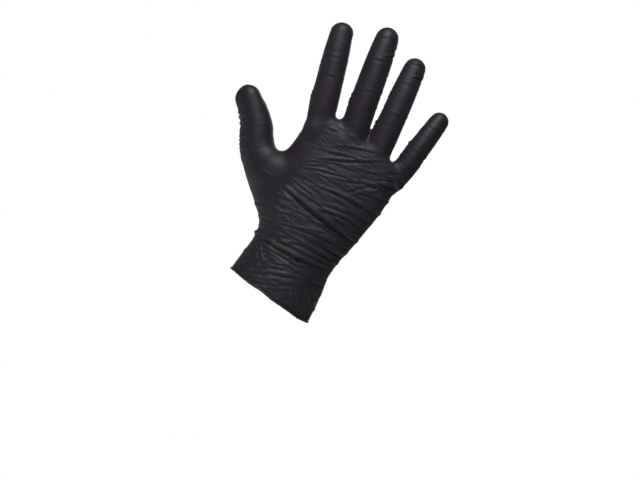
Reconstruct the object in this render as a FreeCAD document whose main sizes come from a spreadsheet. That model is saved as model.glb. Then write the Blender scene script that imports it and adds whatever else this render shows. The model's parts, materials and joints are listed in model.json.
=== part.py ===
"""A disposable nitrile glove, size L, in the open-hand shape that it takes when it is worn.

Frame: millimetres, +Z from the wrist opening to the fingertips, the back of the hand towards -Y, the palm
towards +Y, the thumb towards -X. The origin is the centre of the wrist opening, in the plane of its rim.

The real glove is one film. Here it is divided where it bends: each stretch that one bone carries is a firm
zone, and each stretch over a joint is a crease, the soft band that folds when the joint moves.
Every zone and crease is hollow, and the film is equally thick all over.
"""
import FreeCAD, Part
import math
import os
import Sketcher

V = FreeCAD.Vector
DOC = FreeCAD.newDocument("glove")
SHEET = DOC.addObject("Spreadsheet::Sheet", "sizes")

# ---------------------------------------------------------------- driving dimensions, millimetres and degrees
GLOVE = {
    "film": 0.15,                # thickness of the nitrile
    "bead_radius": 0.9,          # rolled rim of the wrist opening
    "wrist_crease_low": 26.0,    # the soft band round the wrist starts at this height
    "wrist_crease_high": 50.0,   # and ends at this one
    "crotch_height": 139.5,      # the bottoms of the gaps between the four fingers
    "crotch_gap": 0.6,           # from there to the lowest edge of a finger's first firm zone
    "knuckle_setback": 2.0,      # knuckle axis below the base of its finger
    "knuckle_reach": 5.0,        # least distance from a knuckle axis to its finger's first firm zone
    "palm_drop_back": 5.5,       # from there down to the top edge of the firm hand zone, on the back
    "palm_drop_front": 19.5,     # and on the palm side, where the fingers fold over it
    "crease_gap": 0.8,           # half the width of a crease on the back of a finger
    "middle_bend": 84.0,         # bend that a middle joint's crease leaves room for
    "tip_bend": 56.0,            # the same for the tip joint
    "thumb_knuckle_bend": 50.0,
    "thumb_tip_bend": 70.0,
    "thumb_port": 19.0,          # where the firm hand zone ends along the thumb, from the thumb's root
    "thumb_base_start": 30.0,    # where the thumb's first firm zone starts
}

# cross-sections of the wrist: height, centre in X, half width, half depth
WRIST_SECTIONS = {
    "rim": (0.0, 0.0, 36.5, 25.0),
    "cuff": (14.0, -1.5, 35.0, 24.0),
    "forearm": (GLOVE["wrist_crease_low"], -3.5, 33.2, 22.5),
    "wrist": (38.0, -4.5, 33.2, 21.5),
    "heel": (GLOVE["wrist_crease_high"], -7.5, 36.5, 21.0),
}
# cross-sections of the hand: how much of the way from the heel to the crotches, then the same
HAND_SECTIONS = {
    "thenar": (0.178771, -9.5, 39.5, 20.5),
    "hollow": (0.391061, -10.5, 41.8, 18.5),
    "palm": (0.625698, -11.5, 43.0, 16.0),
    "bridge": (0.826816, -13.0, 46.0, 13.8),
    "crotch": (1.0, -13.8, 48.6, 11.8),
}
OUTLINE = ("centre", "half_width", "half_depth")
SECTION_POINTS = 24       # points that each section's closed curve runs through
WRIST_SQUARENESS = 2.0    # a plain ellipse at the rim
CROTCH_SQUARENESS = 2.7   # a flatter, blunter oval where the fingers part

# fingers: where the base lies across the hand, in half widths of the crotches' section from its centre, its y,
# its rise over the crotches, lean towards the thumb, curl of each bone at rest, distances between the joints,
# and the radius at the knuckle, middle joint, tip joint and fingertip
FINGERS = {
    "index": dict(across=-0.77572, base_y=0.4, rise=1.5, lean=22.5, curl=(2.0, 7.0, 10.0),
                  bones=(23.5, 23.5, 23.5), radii=(10.9, 10.4, 9.5, 7.8)),
    "middle": dict(across=-0.185185, base_y=-0.8, rise=3.5, lean=16.6, curl=(1.0, 6.0, 10.0),
                   bones=(29.5, 28.5, 25.5), radii=(11.0, 10.7, 9.8, 8.0)),
    "ring": dict(across=0.308642, base_y=-0.4, rise=3.0, lean=12.8, curl=(2.0, 8.0, 12.0),
                 bones=(25.5, 26.5, 25.0), radii=(10.4, 10.1, 9.3, 7.6)),
    "little": dict(across=0.814815, base_y=1.0, rise=-0.5, lean=0.5, curl=(3.0, 8.0, 12.0),
                   bones=(19.5, 17.5, 19.0), radii=(9.2, 8.5, 7.9, 6.7)),
}
PLACES = ("knuckle", "middle", "tip_joint", "tip")
BONES = ("proximal", "middle", "tip")

# thumb: its root inside the hand, knuckle, tip joint and end, with heights over the top of the wrist's soft
# band, then the radius at each
THUMB = {
    "root": (-36.0, 5.0, 10.0),
    "knuckle": (-71.0, 11.0, 33.5),
    "tip_joint": (-88.5, 13.0, 52.5),
    "end": (-111.2, 14.5, 71.0),
}
THUMB_RADII = {"root": 17.0, "knuckle": 13.6, "tip_joint": 11.2, "end": 8.8}
THUMB_PAD_TURN = 60.0     # the pad faces the palm side, turned this far back from the fingers' side


def fill_sheet():
    """Gives every driving dimension its own cell, with its name as the alias."""
    cells = dict(GLOVE)
    for name, (height, *outline) in WRIST_SECTIONS.items():
        cells[f"{name}_height"] = height
        for key, value in zip(OUTLINE, outline):
            cells[f"{name}_{key}"] = value
    for name, (share, *outline) in HAND_SECTIONS.items():
        heel = WRIST_SECTIONS["heel"][0]
        cells[f"{name}_height"] = heel + share * (GLOVE["crotch_height"] - heel)
        for key, value in zip(OUTLINE, outline):
            cells[f"{name}_{key}"] = value
    for finger, data in FINGERS.items():
        for key in ("across", "base_y", "rise", "lean"):
            cells[f"{finger}_{key}"] = data[key]
        for bone, length, curl in zip(BONES, data["bones"], data["curl"]):
            cells[f"{finger}_{bone}_length"] = length
            cells[f"{finger}_{bone}_curl"] = curl
        for place, radius in zip(PLACES, data["radii"]):
            cells[f"{finger}_{place}_radius"] = radius
    for place, point in THUMB.items():
        for axis, value in zip("xyz", point):
            cells[f"thumb_{place}_{axis}"] = value
        cells[f"thumb_{place}_radius"] = THUMB_RADII[place]
    for row, (alias, value) in enumerate(cells.items(), start=1):
        SHEET.set(f"A{row}", alias)
        SHEET.set(f"B{row}", str(value))
        SHEET.setAlias(f"B{row}", alias)
    DOC.recompute()


def size(alias):
    """The value in a named cell of the sheet."""
    return float(getattr(SHEET, alias))


def cell(alias):
    """A cell as an expression names it."""
    return f"<<sizes>>.{alias}"


# ---------------------------------------------------------------- where the bones lie

class Bone:
    """One stretch of a finger: its frame has +Z along the bone and +Y towards the side that it folds to."""

    def __init__(self, name, start, along, fold_side, length, radii):
        self.name = name
        self.length = length
        self.radii = radii
        z = V(along).normalize()
        x = V(fold_side).cross(z).normalize()
        self.placement = FreeCAD.Placement(start, FreeCAD.Rotation(x, z.cross(x), z, "ZXY"))

    def radius(self, z):
        """Outer radius of the film at this distance along the bone."""
        return self.radii[0] + (self.radii[1] - self.radii[0]) * z / self.length

    def cone(self, start, end, inset=0.0):
        """The solid that the film encloses between two distances along the bone."""
        cone = Part.makeCone(self.radius(start) - inset, self.radius(end) - inset, end - start,
                             V(0, 0, start), V(0, 0, 1))
        cone.transformShape(self.placement.toMatrix())
        return cone


def finger_bones(finger):
    """The three bones of a finger, each leaning towards the thumb and curled a little to the palm."""
    lean = math.radians(size(f"{finger}_lean"))
    straight = V(-math.sin(lean), 0, math.cos(lean))
    palm_side = V(0, 1, 0)
    across = size("crotch_centre") + size(f"{finger}_across") * size("crotch_half_width")
    base = V(across, size(f"{finger}_base_y"), size("crotch_height") + size(f"{finger}_rise"))
    start = base - straight * size("knuckle_setback")
    bones = []
    for number, bone in enumerate(BONES):
        curl = math.radians(size(f"{finger}_{bone}_curl"))
        along = straight * math.cos(curl) + palm_side * math.sin(curl)
        length = size(f"{finger}_{bone}_length")
        radii = tuple(size(f"{finger}_{PLACES[number + end]}_radius") for end in (0, 1))
        bones.append(Bone(f"{finger}_{bone}", start, along, palm_side, length, radii))
        start = start + along * length
    return bones


def thumb_bones():
    """The three bones of the thumb, from its root inside the palm to its tip."""
    places = list(THUMB)
    band_top = V(0, 0, size("wrist_crease_high"))
    points = [band_top + V(*(size(f"thumb_{place}_{axis}") for axis in "xyz")) for place in places]
    turn = math.radians(THUMB_PAD_TURN)
    bones = []
    for number, bone in enumerate(("base", "middle", "tip")):
        along = points[number + 1] - points[number]
        to_fingers = V(0, 1, 0).cross(along).normalize()
        pad = to_fingers * math.cos(turn) + V(0, 1, 0) * math.sin(turn)
        radii = tuple(size(f"thumb_{places[number + end]}_radius") for end in (0, 1))
        bones.append(Bone(f"thumb_{bone}", points[number], along, pad, along.Length, radii))
    return bones


# ---------------------------------------------------------------- sketches

def body(name):
    """An empty PartDesign body that is one sub-part."""
    made = DOC.addObject("PartDesign::Body", name)
    made.Label = name
    return made


def plane(owner, role):
    """One of a body's own origin planes."""
    return next(f for f in owner.Origin.OriginFeatures if f.Role == role)


def sketch_on(owner, role, name):
    """A sketch on one of a body's origin planes."""
    made = owner.newObject("Sketcher::SketchObject", name)
    made.AttachmentSupport = [(plane(owner, role), "")]
    made.MapMode = "FlatFace"
    return made


def pin(sketch, geometry, vertex, across, up):
    """Ties a sketch point to expressions for its distance across and up from the sketch's origin."""
    for kind, expression in (("DistanceX", across), ("DistanceY", up)):
        number = sketch.addConstraint(Sketcher.Constraint(kind, -1, 1, geometry, vertex, 1.0))
        sketch.setExpression(f"Constraints[{number}]", expression)


def outline(sketch, corners):
    """A closed outline of straight lines whose corners are pairs of expressions."""
    starts = [V(math.cos(a), math.sin(a), 0)
              for a in (2 * math.pi * n / len(corners) for n in range(len(corners)))]
    for n, start in enumerate(starts):
        sketch.addGeometry(Part.LineSegment(start, starts[(n + 1) % len(starts)]))
    for n, (across, up) in enumerate(corners):
        sketch.addConstraint(Sketcher.Constraint("Coincident", n - 1 if n else len(corners) - 1, 2, n, 1))
        pin(sketch, n, 1, across, up)


def revolve(owner, sketch):
    """Turns a half-section about the bone's axis."""
    turned = owner.newObject("PartDesign::Revolution", owner.Name + "_turned")
    turned.Profile = sketch
    turned.ReferenceAxis = (sketch, ["V_Axis"])
    turned.Angle = 360.0
    sketch.Visibility = False


def cut_through(owner, sketch):
    """Cuts a side-view outline right through a body, to both sides."""
    pocket = owner.newObject("PartDesign::Pocket", sketch.Name + "_cut")
    pocket.Profile = sketch
    pocket.Type = "ThroughAll"
    pocket.SideType = "Symmetric"
    sketch.Visibility = False


# ---------------------------------------------------------------- firm zones of the fingers

def tube_section(sketch, cells, first, last):
    """Half-section of an open tube: the film between two distances along the bone."""
    start, end, film = cells["start"], cells["end"], cell("film")
    slope = f"({end} - {start}) / {cells['length']}"
    outer = [f"({start} + {slope} * ({z}))" for z in (first, last)]
    outline(sketch, [(outer[0], first), (outer[1], last),
                     (f"{outer[1]} - {film}", last), (f"{outer[0]} - {film}", first)])


def thimble_section(sketch, cells, first):
    """Half-section of a fingertip: the tapering film, closed by a round end."""
    start, end, film, length = cells["start"], cells["end"], cell("film"), cells["length"]
    dome = f"{length} - {end}"
    foot = f"({start} + ({end} - {start}) / ({dome}) * ({first}))"
    rise, tip = V(0, 1, 0), V(1, 0, 0)
    lines = [(V(3, 0, 0), V(2, 3, 0)), (V(0, 5, 0), V(0, 4, 0)), (V(1, 3, 0), V(2, 0, 0)),
             (V(2, 0, 0), V(3, 0, 0))]
    for ends in lines:
        sketch.addGeometry(Part.LineSegment(*ends))
    for radius in (2, 1):
        circle = Part.Circle(V(0, 3, 0), V(0, 0, 1), radius)
        sketch.addGeometry(Part.ArcOfCircle(circle, 0, math.pi / 2))
    side, axis, inside, rim, outer_dome, inner_dome = range(6)
    joins = [(side, 2, outer_dome, 1), (outer_dome, 2, axis, 1), (axis, 2, inner_dome, 2),
             (inner_dome, 1, inside, 1), (inside, 2, rim, 1), (rim, 2, side, 1)]
    for join in joins:
        sketch.addConstraint(Sketcher.Constraint("Coincident", *join))
    pin(sketch, side, 1, foot, first)
    pin(sketch, rim, 1, f"{foot} - {film}", first)
    pin(sketch, side, 2, end, dome)
    pin(sketch, inside, 1, f"{end} - {film}", dome)
    pin(sketch, outer_dome, 3, "0", dome)
    pin(sketch, inner_dome, 3, "0", dome)
    for arc in (outer_dome, inner_dome):
        sketch.addConstraint(Sketcher.Constraint("PointOnObject", arc, 2, -2))


def crease_cut(owner, name, cells, bend, at_end):
    """Cuts a zone back from a joint: a little on its back, and on the fold side by what the bend needs."""
    reach = f"2 * {cells['start']}"
    radius = cells["end" if at_end else "start"]
    back, front = cell("crease_gap"), f"({cell('crease_gap')} + {radius} * tan({bend} / 2))"
    half_slope = f"({front} - {back}) / 2 / {radius}"
    middle = f"({front} + {back}) / 2"
    low, high = (f"{middle} - {half_slope} * {reach}", f"{middle} + {half_slope} * {reach}")
    sketch = sketch_on(owner, "YZ_Plane", name)
    if at_end:
        length = cells["length"]
        outline(sketch, [(f"-{reach}", f"{length} - ({low})"), (reach, f"{length} - ({high})"),
                         (reach, f"{length} + {reach}"), (f"-{reach}", f"{length} + {reach}")])
    else:
        outline(sketch, [(f"-{reach}", f"-{reach}"), (reach, f"-{reach}"), (reach, high),
                         (f"-{reach}", low)])
    cut_through(owner, sketch)


def firm_zone(bone, cells, first, bend_before, bend_after):
    """A finger's firm zone. It starts square at "first" if no bend comes before it, and a last one is closed."""
    made = body(bone.name)
    section = sketch_on(made, "XZ_Plane", bone.name + "_section")
    if bend_after:
        tube_section(section, cells, first, cells["length"])
    else:
        thimble_section(section, cells, first)
    revolve(made, section)
    if bend_before:
        crease_cut(made, bone.name + "_before", cells, bend_before, at_end=False)
    if bend_after:
        crease_cut(made, bone.name + "_after", cells, bend_after, at_end=True)
    made.Placement = bone.placement
    return made


def finger_start(finger, bone):
    """Distance along the first bone at which its zone clears the crotches beside it and the folded palm."""
    lean = math.radians(size(f"{finger}_lean"))
    rise = size("crotch_height") + size("crotch_gap") - bone.placement.Base.z
    clear_of_crotch = (rise + bone.radii[0] * math.sin(lean)) / math.cos(lean)
    return max(clear_of_crotch, size("knuckle_reach"))


def finger_zones(finger, bones):
    """The three firm zones of one finger."""
    bends = (None, cell("middle_bend"), cell("tip_bend"), None)
    zones = []
    for number, bone in enumerate(bones):
        cells = {"start": cell(f"{finger}_{PLACES[number]}_radius"),
                 "end": cell(f"{finger}_{PLACES[number + 1]}_radius"),
                 "length": cell(f"{finger}_{BONES[number]}_length")}
        first = "0" if number else str(finger_start(finger, bone))
        zones.append(firm_zone(bone, cells, first, bends[number], bends[number + 1]))
    return zones


def thumb_zones(bones):
    """The three firm zones of the thumb."""
    places = list(THUMB)
    bends = (None, cell("thumb_knuckle_bend"), cell("thumb_tip_bend"), None)
    zones = []
    for number, bone in enumerate(bones):
        cells = {"start": cell(f"thumb_{places[number]}_radius"),
                 "end": cell(f"thumb_{places[number + 1]}_radius"), "length": str(bone.length)}
        first = "0" if number else cell("thumb_base_start")
        zones.append(firm_zone(bone, cells, first, bends[number], bends[number + 1]))
    return zones


# ---------------------------------------------------------------- wrist and hand

def film_part(name, shape):
    """A stretch of film between free-form sections, which no sketched feature makes."""
    made = DOC.addObject("Part::Feature", name)
    made.Label = name
    made.Shape = shape
    made.Placement = FreeCAD.Placement()
    return made


def section_wire(name, squareness, inset):
    """One closed section curve: an oval whose corners fill out as its squareness grows."""
    height, centre, wide, deep = (size(f"{name}_{key}")
                                  for key in ("height", "centre", "half_width", "half_depth"))
    points = []
    for n in range(SECTION_POINTS):
        angle = 2 * math.pi * n / SECTION_POINTS
        c, s = math.cos(angle), math.sin(angle)
        reach = (abs(c) ** squareness + abs(s) ** squareness) ** (-1 / squareness)
        points.append(V(centre + (wide - inset) * reach * c, (deep - inset) * reach * s, height))
    curve = Part.BSplineCurve()
    curve.interpolate(points, PeriodicFlag=True)
    return Part.Wire(curve.toShape())


def hand_solid(inset=0.0):
    """The solid that the film encloses from the rim to the finger crotches."""
    top = size("crotch_height")
    wires = []
    for name in (*WRIST_SECTIONS, *HAND_SECTIONS):
        share = size(f"{name}_height") / top
        squareness = WRIST_SQUARENESS + (CROTCH_SQUARENESS - WRIST_SQUARENESS) * share
        wires.append(section_wire(name, squareness, inset))
    straight_sided = True
    return Part.makeLoft(wires, True, straight_sided)


def slab(low, high):
    """Everything between two heights."""
    reach = 400.0
    return Part.makeBox(2 * reach, 2 * reach, high - low, V(-reach, -reach, low))


def above_palm_end():
    """Everything past the sloping top edge of the firm hand zone."""
    reach = 400.0
    back, front = (size("crotch_height") - size(f"palm_drop_{side}") for side in ("back", "front"))
    deep = size("bridge_half_depth")
    slope = (front - back) / (2 * deep)
    middle = (front + back) / 2
    corners = [V(-reach, y, z) for y, z in ((-reach, middle - slope * reach), (reach, middle + slope * reach),
                                            (reach, 3 * reach), (-reach, 3 * reach))]
    return Part.Face(Part.makePolygon(corners + corners[:1])).extrude(V(2 * reach, 0, 0))


def bead():
    """The rolled rim: a round bead, on top of which the cuff's film stands."""
    made = body("cuff_bead")
    path = sketch_on(made, "XY_Plane", "bead_path")
    path.addGeometry(Part.Ellipse(V(2, 0, 0), V(0, 1, 0), V(0, 0, 0)))
    path.exposeInternalGeometry(0)
    path.addConstraint(Sketcher.Constraint("Coincident", 0, 3, -1, 1))
    path.addConstraint(Sketcher.Constraint("PointOnObject", 1, 2, -1))
    pin_size(path, 1, f"2 * ({cell('rim_half_width')} - {cell('film')} / 2)")
    pin_size(path, 2, f"2 * ({cell('rim_half_depth')} - {cell('film')} / 2)")
    roll = sketch_on(made, "XZ_Plane", "bead_section")
    roll.addGeometry(Part.Circle(V(5, 0, 0), V(0, 0, 1), 1))
    pin(roll, 0, 3, f"{cell('rim_half_width')} - {cell('film')} / 2", "0")
    number = roll.addConstraint(Sketcher.Constraint("Radius", 0, 1.0))
    roll.setExpression(f"Constraints[{number}]", cell("bead_radius"))
    swept = made.newObject("PartDesign::AdditivePipe", "bead_roll")
    swept.Profile = roll
    swept.Spine = (path, ["Edge1"])
    made.Placement = FreeCAD.Placement(V(size("rim_centre"), 0, size("bead_radius")), FreeCAD.Rotation())


def pin_size(sketch, geometry, length):
    """Ties a line's length to an expression."""
    number = sketch.addConstraint(Sketcher.Constraint("Distance", geometry, 1.0))
    sketch.setExpression(f"Constraints[{number}]", length)


def wrist_and_hand(fingers, thumb):
    """The cuff, the wrist crease, the firm hand zone, the crease over the knuckles and the thumb's root."""
    film, port, base_start = size("film"), size("thumb_port"), size("thumb_base_start")
    outside, inside = hand_solid(), hand_solid(film)
    skin = outside.cut(inside)
    rim = 2 * size("bead_radius")
    low, high = size("wrist_crease_low"), size("wrist_crease_high")
    film_part("cuff", skin.common(slab(rim, low)))
    film_part("wrist_crease", skin.common(slab(low, high)))

    top = above_palm_end()
    thumb_inside = thumb.cone(0, base_start + port, film)
    hand = outside.fuse(thumb.cone(0, port)).cut(inside.fuse(thumb_inside))
    film_part("hand", hand.cut(slab(-1, high)).cut(top))
    film_part("thumb_root_crease", thumb.cone(port, base_start).cut(thumb_inside).cut(outside))

    ceiling = slab(-1, size("crotch_height") - film)
    over, under = outside.common(top), inside.common(ceiling)
    for finger, bone in fingers.items():
        start = finger_start(finger, bone)
        over = over.fuse(bone.cone(0, start))
        under = under.fuse(bone.cone(0, start + port, film))
    film_part("knuckle_crease", over.cut(under).common(top))


# ---------------------------------------------------------------- creases of the fingers

def end_wires(shape, toward):
    """Outer and inner outline of the cut face at the end of a zone that looks towards a point."""
    flat = [f for f in shape.Faces if isinstance(f.Surface, Part.Plane) and len(f.Wires) == 2]
    face = min(flat, key=lambda f: f.CenterOfMass.distanceToPoint(toward))
    return sorted(face.Wires, key=lambda w: -w.BoundBox.DiagonalLength)


def crease(name, before, after, joint):
    """The soft band over a joint, from the cut face of one firm zone to the cut face of the next."""
    pairs = zip(end_wires(before.Shape, joint), end_wires(after.Shape, joint))
    outer, inner = (Part.makeLoft(list(pair), True, True) for pair in pairs)
    film_part(name, outer.cut(inner))


# ---------------------------------------------------------------- build, check and write

def check_parts():
    """Every object recomputed and every sub-part a valid solid; returns the sub-parts."""
    DOC.recompute()
    failed = [o.Label for o in DOC.Objects if "Invalid" in o.State or "Error" in o.State]
    if failed:
        raise SystemExit(f"not recomputed: {failed}")
    parts = [o for o in DOC.Objects if o.TypeId in ("PartDesign::Body", "Part::Feature")]
    for part in parts:
        shape = part.Shape
        if shape.isNull() or not shape.isValid() or shape.Volume <= 0:
            raise SystemExit(f"bad shape: {part.Label}")
        print(f"{part.Label:24s} {len(shape.Solids)} solid  {shape.Volume:9.1f} mm3")
    return parts


def build():
    fill_sheet()
    fingers = {finger: finger_bones(finger) for finger in FINGERS}
    thumb = thumb_bones()
    bead()
    wrist_and_hand({finger: bones[0] for finger, bones in fingers.items()}, thumb[0])
    rows = [(finger, bones, finger_zones(finger, bones)) for finger, bones in fingers.items()]
    thumb_row = thumb_zones(thumb)
    DOC.recompute()
    for finger, bones, zones in rows:
        crease(f"{finger}_middle_crease", zones[0], zones[1], bones[1].placement.Base)
        crease(f"{finger}_tip_crease", zones[1], zones[2], bones[2].placement.Base)
    crease("thumb_knuckle_crease", thumb_row[0], thumb_row[1], thumb[1].placement.Base)
    crease("thumb_tip_crease", thumb_row[1], thumb_row[2], thumb[2].placement.Base)


build()
os.makedirs("parts", exist_ok=True)
for sub_part in check_parts():
    sub_part.Shape.exportStep(f"parts/{sub_part.Label}.step")
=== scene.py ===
# %% [markdown]
# # A worn nitrile glove
# A disposable glove starts as one thin film on a dipping form. On a hand it stretches smooth over the
# broad places and gathers into creases where it has room. This lesson models the film itself: a smooth
# glove shape first, then its folds, then a thin wall, and at last one piece for each joint, cut where the
# glove would bend.

# %% Frame
import json
import math
import random

import bmesh
import bpy
import numpy as np
from mathutils import Matrix, Vector, noise


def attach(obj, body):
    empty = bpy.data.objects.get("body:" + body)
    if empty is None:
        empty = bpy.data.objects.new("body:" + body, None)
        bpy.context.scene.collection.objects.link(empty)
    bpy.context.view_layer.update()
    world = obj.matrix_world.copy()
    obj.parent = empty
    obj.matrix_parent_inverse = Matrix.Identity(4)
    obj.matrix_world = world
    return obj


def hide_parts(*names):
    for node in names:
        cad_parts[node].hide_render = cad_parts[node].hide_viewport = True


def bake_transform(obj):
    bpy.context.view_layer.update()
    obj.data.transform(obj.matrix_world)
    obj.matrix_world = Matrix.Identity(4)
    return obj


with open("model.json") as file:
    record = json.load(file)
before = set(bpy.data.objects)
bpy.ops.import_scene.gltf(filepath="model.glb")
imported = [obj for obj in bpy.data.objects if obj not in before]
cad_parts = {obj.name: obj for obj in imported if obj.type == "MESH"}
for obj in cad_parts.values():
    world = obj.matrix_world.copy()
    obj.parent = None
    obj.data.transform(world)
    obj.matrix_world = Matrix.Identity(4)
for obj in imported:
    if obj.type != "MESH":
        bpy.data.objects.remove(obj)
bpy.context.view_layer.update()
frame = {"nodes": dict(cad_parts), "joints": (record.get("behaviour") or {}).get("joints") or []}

MM = 0.001
JOINTS = {joint["name"]: joint for joint in frame["joints"]}

# %% [markdown]
# ## Three small tools
# Most steps end a bmesh as a mesh, put an object into the scene, or read many places at once. Reading
# them one by one is slow for a fine skin, so a whole table is filled.

# %% Tools
def to_mesh(bm, name):
    """Ends a bmesh as a mesh."""
    mesh = bpy.data.meshes.new(name)
    bm.to_mesh(mesh)
    bm.free()
    return mesh


def to_scene(name, data):
    """A new object in the scene, at the origin."""
    thing = bpy.data.objects.new(name, data)
    bpy.context.scene.collection.objects.link(thing)
    return thing


def rows_of(items, what):
    """Places or directions of vertices, faces or an attribute, as rows of three."""
    rows = np.empty(len(items) * 3)
    items.foreach_get(what, rows)
    return rows.reshape(-1, 3)


# %% [markdown]
# ## Where the bones lie
# Every digit is a chain of three joints, which the frame knows. The end of the chain is the far end of
# the fingertip's zone, and the thickness at each joint is measured on the zones too. So the looks follow
# the construction, and nothing has to be typed in twice.

# %% Digits
FINGERS = ("index", "middle", "ring", "little")


def joint_at(name):
    """The place of a joint, as an array in metres."""
    return np.array(JOINTS[name]["pos_m"], float)


def node_points(name):
    """All corners of a zone's mesh, in metres."""
    return rows_of(frame["nodes"][name].data.vertices, "co")


def unit(vector):
    """The vector at length 1."""
    return vector / np.linalg.norm(vector)


def side_axes(along):
    """Across a digit to the little finger's side, and through it to the palm side."""
    across = unit(np.cross((0, 1, 0), along))
    return across, np.cross(along, across)


def chain_end(tip_node, last_joint):
    """The far end of a fingertip: its furthest reach from the last joint, along its own axis."""
    away = node_points(tip_node) - last_joint
    along = unit(away.mean(axis=0))
    return last_joint + along * (away @ along).max()


def girths(node, start, end):
    """The zone's radius near the start and near the end of its bone."""
    along, away = unit(end - start), node_points(node) - start
    t = away @ along
    r = np.linalg.norm(away - np.outer(t, along), axis=1)
    middle = (t.min() + t.max()) / 2
    return r[t < middle].max(), r[t > middle].max()


def digit(name, joints):
    """Joints, end and radii of one digit."""
    places = [joint_at(joint) for joint in joints]
    places.append(chain_end(f"{name}_tip", places[-1]))
    zones = [f"{name}_{zone}" for zone in (("base" if name == "thumb" else "proximal"), "middle", "tip")]
    radii = [girths(zone, places[n], places[n + 1]) for n, zone in enumerate(zones[:2])]
    radii = [radii[0][0], (radii[0][1] + radii[1][0]) / 2, radii[1][1]]
    return {"places": places, "radii": radii}


# the thumb's tube starts deep in the palm, so that its root swells out of it
THUMB_ROOT = np.array([-36.0, 5.0, 60.0]) * MM
DIGITS = {name: digit(name, [f"{name}_knuckle", f"{name}_middle_joint", f"{name}_tip_joint"])
          for name in FINGERS}
DIGITS["thumb"] = digit("thumb", ["thumb_swing", "thumb_knuckle", "thumb_tip_joint"])
DIGITS["thumb"]["places"][0] = THUMB_ROOT
for name, data in DIGITS.items():
    reach = sum(np.linalg.norm(b - a) for a, b in zip(data["places"], data["places"][1:]))
    print(f"{name}: {reach / MM:.0f} mm to the tip, radii", [round(r / MM, 1) for r in data["radii"]])

# %% [markdown]
# ## Camera
# The glove stands upright in its frame, and is looked at level and from the back of the hand. The camera
# rolls about its own view line, so the fingers point up and to the right, as on an arm that comes in from
# the lower left. The glove could be turned instead, but then it would no longer lie where its joints are.

# %% Camera
ROLL = math.radians(36)
AIM = Vector((6.4, 0.0, 58.0)) * MM
DISTANCE = 1.7
PICTURE_WIDTH = 0.492  # how much the camera takes in at the glove, in metres


def make_camera():
    """A long lens on the view line, rolled about it."""
    camera = to_scene("camera", bpy.data.cameras.new("camera"))
    camera.data.lens = camera.data.sensor_width * DISTANCE / PICTURE_WIDTH
    right = Vector((math.cos(ROLL), 0, math.sin(ROLL)))
    up = Vector((-math.sin(ROLL), 0, math.cos(ROLL)))
    back = Vector((0, -1, 0))
    turn = Matrix((right, up, back)).transposed().to_4x4()
    camera.matrix_world = Matrix.Translation(AIM + back * DISTANCE) @ turn
    camera.data.clip_start, camera.data.clip_end = 0.05, 20
    bpy.context.scene.camera = camera
    print("lens", round(camera.data.lens), "mm")


make_camera()

# %% [markdown]
# ## Studio
# White paper all round, and soft boxes. A bright world alone would wash the glove out. So the camera sees
# a bright world, while a dimmer one and three lamps light the glove, because a black film shows its shape
# only by broad, soft reflections.

# %% Studio
FLOOR_DROP = 0.42
FLOOR_RADIUS = 1.0
HAND_MIDDLE = Vector((-0.015, 0, 0.12))
# place in metres, size in metres, power in watts
SOFT_BOXES = {
    "key_box": ((-0.36, -0.45, 0.84), 0.33, 7.7),
    "front_box": ((-0.25, -1.20, 0.70), 0.50, 2.6),
    "back_box": ((0.1, 1.4, 0.6), 1.0, 6),
}


def set_inputs(node, values):
    """Sets sockets of a node to constants."""
    for name, value in values.items():
        node.inputs[name].default_value = value


def paper_material():
    """Matte white paper."""
    material = bpy.data.materials.new("studio_paper")
    material.use_nodes = True
    set_inputs(material.node_tree.nodes["Principled BSDF"], {
        "Base Color": (0.9, 0.9, 0.9, 1), "Roughness": 0.9,
        "Emission Color": (1, 1, 1, 1), "Emission Strength": 0.4})
    return material


def make_floor():
    """A pale round floor well below the cuff."""
    bm = bmesh.new()
    bmesh.ops.create_circle(bm, cap_ends=True, segments=96, radius=FLOOR_RADIUS,
                            matrix=Matrix.Translation((0, 0, -FLOOR_DROP)))
    floor = to_scene("studio_floor", to_mesh(bm, "studio_floor"))
    floor.data.materials.append(paper_material())


def soft_box(name, place, size, power):
    """A square soft box that faces the middle of the hand."""
    light = to_scene(name, bpy.data.lights.new(name, "AREA"))
    light.data.shape, light.data.size, light.data.energy = "SQUARE", size, power
    light.location = place
    light.rotation_mode = "QUATERNION"
    light.rotation_quaternion = (HAND_MIDDLE - Vector(place)).to_track_quat("-Z", "Y")


def make_world(seen, lit):
    """A world that is brighter where it is looked at than where it lights the glove."""
    world = bpy.data.worlds.new("studio")
    bpy.context.scene.world = world
    world.use_nodes = True
    nodes, links = world.node_tree.nodes, world.node_tree.links
    background = nodes["Background"]
    rays = nodes.new("ShaderNodeLightPath")
    level = nodes.new("ShaderNodeMapRange")
    set_inputs(level, {"To Min": lit, "To Max": seen})
    set_inputs(background, {"Color": (1, 1, 1, 1)})
    links.new(rays.outputs["Is Camera Ray"], level.inputs["Value"])
    links.new(level.outputs["Result"], background.inputs["Strength"])


bpy.context.scene.view_settings.view_transform = "Standard"
make_floor()
make_world(seen=1.0, lit=0.13)
for name, (place, size, power) in SOFT_BOXES.items():
    soft_box(name, place, size, power)
print("studio ready, soft boxes:", len(SOFT_BOXES))

# %% [markdown]
# ## The smooth glove
# A glove could be one sculpted mesh, but its shape is simple when it is taken apart: a flattened tube for
# the wrist and palm, five tapering tubes for the digits, and small pads for the muscles and knuckles
# under the film. Each is a row of circles that are joined by bridging their edges. A voxel remesh then
# fuses them all into one skin, and smoothing rounds the gaps between the fingers into the webs of a real
# glove.

# %% Rows of rings
RING = 40


def ring(bm, matrix, segments=RING):
    """A circle of edges, placed by a matrix."""
    made = bmesh.ops.create_circle(bm, segments=segments, radius=1.0, matrix=matrix)
    return dict.fromkeys(edge for vert in made["verts"] for edge in vert.link_edges)


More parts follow.
